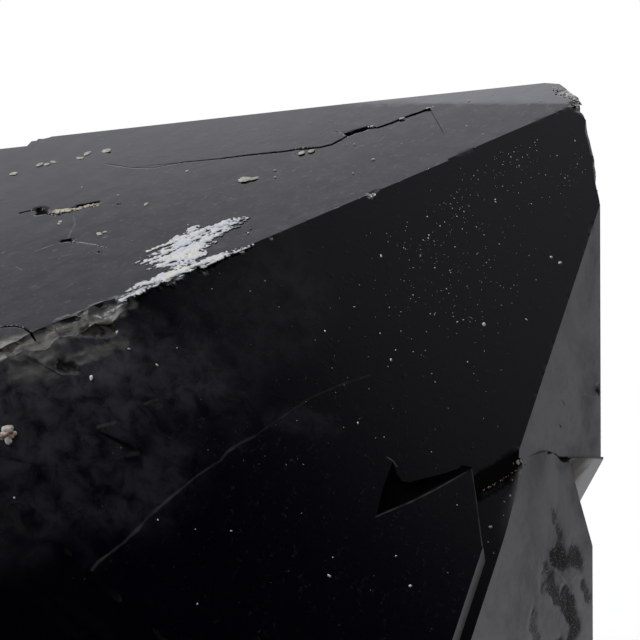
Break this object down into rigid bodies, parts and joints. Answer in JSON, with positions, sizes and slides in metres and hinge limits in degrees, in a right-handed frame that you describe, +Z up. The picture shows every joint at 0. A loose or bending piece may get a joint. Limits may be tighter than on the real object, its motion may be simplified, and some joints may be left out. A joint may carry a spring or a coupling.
{
  "type": "morion quartz point",
  "caption": "Single broken-off crystal of near-black smoky quartz with a sloping pyramid tip, leaning as it stands on a flat cut.",
  "frame": {"origin": "middle of the crystal's box, on the flat cut that it stands on", "axes": "+Z up from the cut, +X towards the side that the tip leans to, -Y towards the side with the widest black pyramid face"},
  "size_m": [0.1158, 0.0836, 0.0719],
  "materials": {
    "smoky_quartz": "glossy natural crystal faces, nearly black, with white crusts, pale grains and rough chipped edges"
  },
  "bodies": {
    "root": {"quartz_point": "smoky_quartz"}
  },
  "joints": []
}
